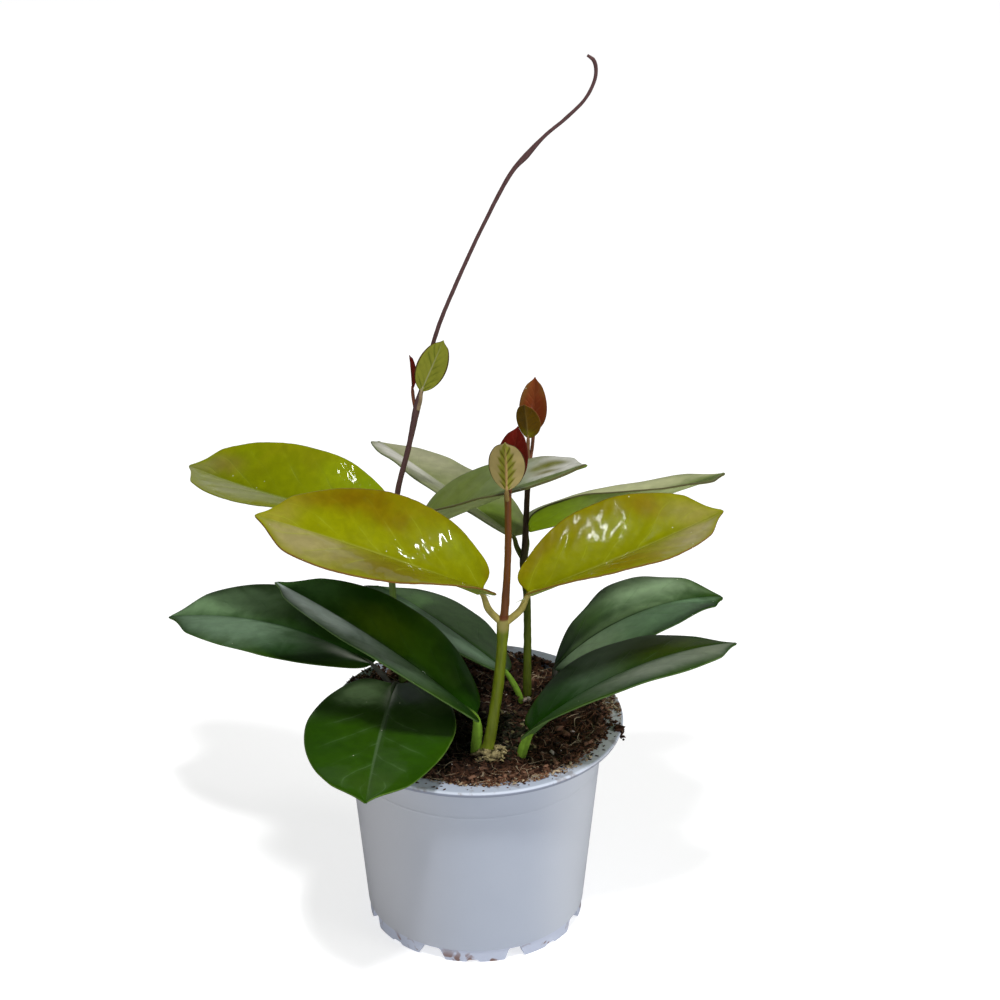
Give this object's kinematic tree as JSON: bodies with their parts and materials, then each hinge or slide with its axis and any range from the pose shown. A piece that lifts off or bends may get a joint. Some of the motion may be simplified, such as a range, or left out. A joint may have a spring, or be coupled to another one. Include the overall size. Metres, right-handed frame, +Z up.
{
  "type": "potted hoya plant",
  "caption": "Young hoya cuttings with thick waxy leaves and one long bare vine, growing in peat in a round plastic nursery pot with a flanged rim.",
  "frame": {"origin": "on the ground under the middle of the plant's whole spread of leaves, at the height of the pot's feet; the pot's own axis stands at X = +13.1 mm, Y = -6.0 mm", "axes": "+Z up along the pot's axis, -Y towards the front of the plant as pictured, +X to the right in that view"},
  "size_m": [0.2334, 0.1952, 0.3594],
  "materials": {
    "pot_plastic": "pale blue-grey, semi-matte",
    "soil": "moist crumbly peat",
    "stem": "green below, red-brown above",
    "vine": "purple-brown with a pale bloom",
    "leaf_lime": "glossy yellow-green with a bronze flush",
    "leaf_dark": "deep green, satin",
    "leaf_green": "mid green, satin",
    "leaf_pale": "pale grey-green, satin",
    "leaf_bronze": "young tan-green with a red margin",
    "leaf_red": "young dark red, glossy"
  },
  "bodies": {
    "root": {"pot": "pot_plastic", "soil": "soil", "stem_front": "stem", "stem_back": "stem", "stem_vine": "vine", "leaf_front_upper_left": "leaf_lime", "leaf_front_upper_right": "leaf_lime", "leaf_front_lower_left": "leaf_dark", "leaf_front_lower_right": "leaf_dark", "leaf_back_upper_left": "leaf_pale", "leaf_back_upper_right": "leaf_green", "leaf_back_lower_left": "leaf_dark", "leaf_back_lower_right": "leaf_dark", "leaf_vine_upper_left": "leaf_lime", "leaf_vine_upper_right": "leaf_green", "leaf_vine_lower_left": "leaf_dark", "leaf_vine_lower_front": "leaf_dark", "leaf_front_young_near": "leaf_bronze", "leaf_front_young_far": "leaf_red", "leaf_back_young_near": "leaf_bronze", "leaf_back_young_far": "leaf_red", "leaf_vine_young_green": "leaf_green", "leaf_vine_young_purple": "leaf_red"}
  },
  "joints": []
}
